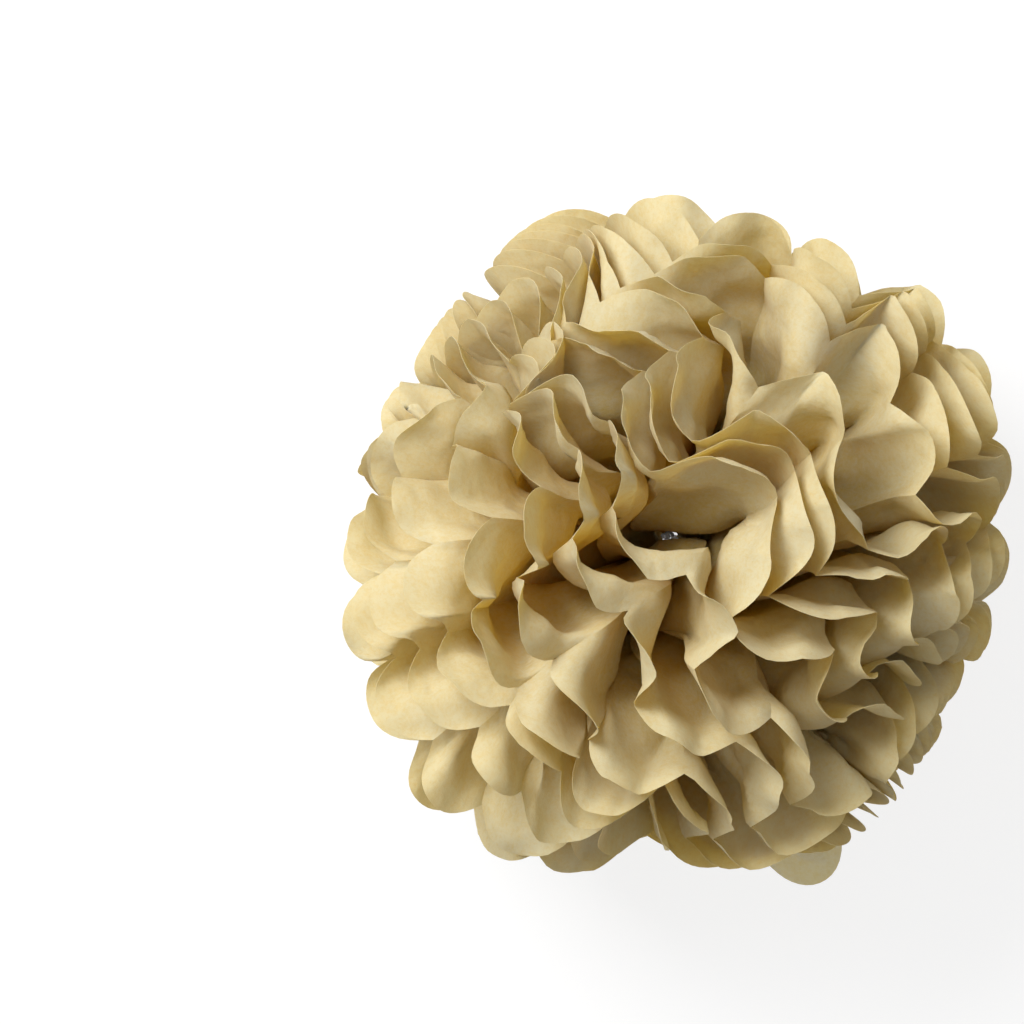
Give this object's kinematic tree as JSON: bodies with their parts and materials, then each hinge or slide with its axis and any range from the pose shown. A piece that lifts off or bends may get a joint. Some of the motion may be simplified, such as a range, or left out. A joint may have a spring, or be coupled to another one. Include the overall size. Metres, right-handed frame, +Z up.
{
  "type": "tissue paper pom pom",
  "caption": "Hanging or table decoration: pleated tissue sheets, tied together at the middle and fanned out sheet by sheet into a round ball with scalloped petals.",
  "frame": {"origin": "on the table, under the middle of the ball's outline", "axes": "+Z up, out of the ball's front; X along the strip that the sheets were folded into, across the tie; Y along the seam where the two fans of each sheet meet"},
  "size_m": [0.3117, 0.2962, 0.2486],
  "materials": {
    "tissue": "matt, translucent beige tissue paper",
    "ribbon": "white woven ribbon with a slight sheen"
  },
  "bodies": {
    "root": {"sheet_01": "tissue", "sheet_02": "tissue", "sheet_03": "tissue", "sheet_04": "tissue", "sheet_05": "tissue", "sheet_06": "tissue", "sheet_07": "tissue", "sheet_08": "tissue", "sheet_09": "tissue", "sheet_10": "tissue", "sheet_11": "tissue", "sheet_12": "tissue", "sheet_13": "tissue", "sheet_14": "tissue", "centre_tie": "ribbon"}
  },
  "joints": []
}
